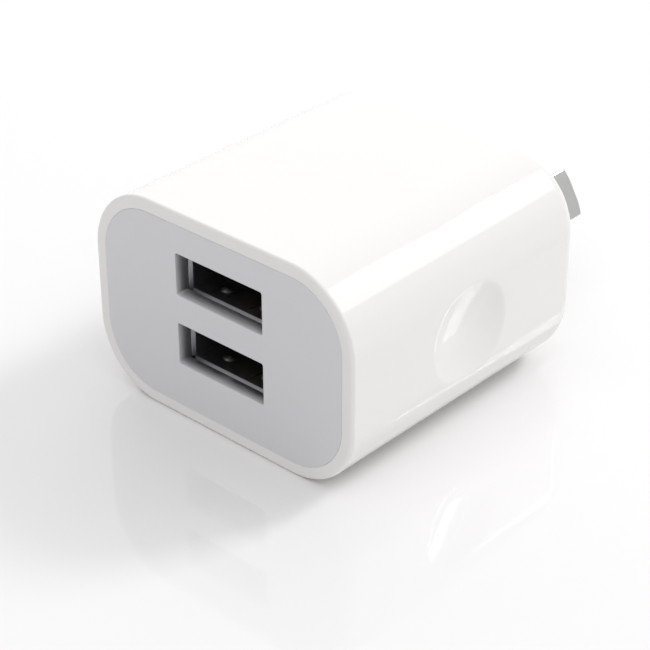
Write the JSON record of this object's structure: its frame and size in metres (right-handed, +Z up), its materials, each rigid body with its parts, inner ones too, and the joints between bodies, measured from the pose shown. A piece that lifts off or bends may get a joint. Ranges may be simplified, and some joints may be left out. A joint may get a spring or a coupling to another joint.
{
  "type": "usb wall charger",
  "caption": "White rounded-box USB wall charger: stacked USB-A ports in an inset grey front plate, a finger dimple in each side and a slanted flat-pin mains plug at the back.",
  "frame": {"origin": "middle of the plug, on the rear face that meets the wall socket", "axes": "+Y into the wall along the pins, +Z up with the charger standing on its wide bottom face, +X to the right seen from the front plate"},
  "size_m": [0.04, 0.057, 0.027],
  "materials": {
    "shell_white": "moulded, polished",
    "plate_grey": "moulded, fine satin",
    "base_white": "moulded, satin",
    "pin_nickel": "nickel plated, lightly brushed",
    "pin_sleeve": "moulded",
    "spring_bronze": "rolled strip",
    "board_green": "glass-fibre laminate with solder mask",
    "solder": "bright solder",
    "connector_steel": "tinned steel sheet",
    "connector_black": "moulded",
    "contact_gold": "gold flashed",
    "ferrite": "ground and sintered",
    "bobbin_black": "moulded",
    "copper_wire": "enamelled",
    "tape_yellow": "polyester film",
    "can_aluminium": "drawn",
    "capacitor_skin": "shrunk film",
    "disc_blue": "dipped",
    "opto_white": "moulded",
    "resistor_green": "coated",
    "chip_black": "moulded epoxy",
    "chip_tan": "fired",
    "sheet_white": "pressed sheet"
  },
  "bodies": {
    "root": {"outer_shell": "shell_white", "front_plate": "plate_grey", "plug_base": "base_white", "live_pin": "pin_nickel", "neutral_pin": "pin_nickel", "live_pin_sleeve": "pin_sleeve", "neutral_pin_sleeve": "pin_sleeve", "live_spring": "spring_bronze", "neutral_spring": "spring_bronze", "main_board": "board_green", "solder_joints": "solder", "usb_shell": "connector_steel", "usb_divider": "connector_steel", "usb_insulator": "connector_black", "upper_port_contacts": "contact_gold", "lower_port_contacts": "contact_gold", "transformer_core": "ferrite", "transformer_bobbin": "bobbin_black", "primary_winding": "copper_wire", "secondary_winding": "copper_wire", "winding_tape": "tape_yellow", "core_tape": "tape_yellow", "bulk_capacitors": "can_aluminium", "output_capacitors": "can_aluminium", "capacitor_sleeves": "capacitor_skin", "y_capacitor": "disc_blue", "optocoupler": "opto_white", "fusible_resistor": "resistor_green", "choke_core": "ferrite", "choke_winding": "copper_wire", "bridge_rectifier": "chip_black", "controller_chip": "chip_black", "output_rectifier": "chip_black", "port_chip": "chip_black", "chip_resistors": "chip_black", "chip_capacitors": "chip_tan", "insulation_sheet": "sheet_white"}
  },
  "joints": []
}
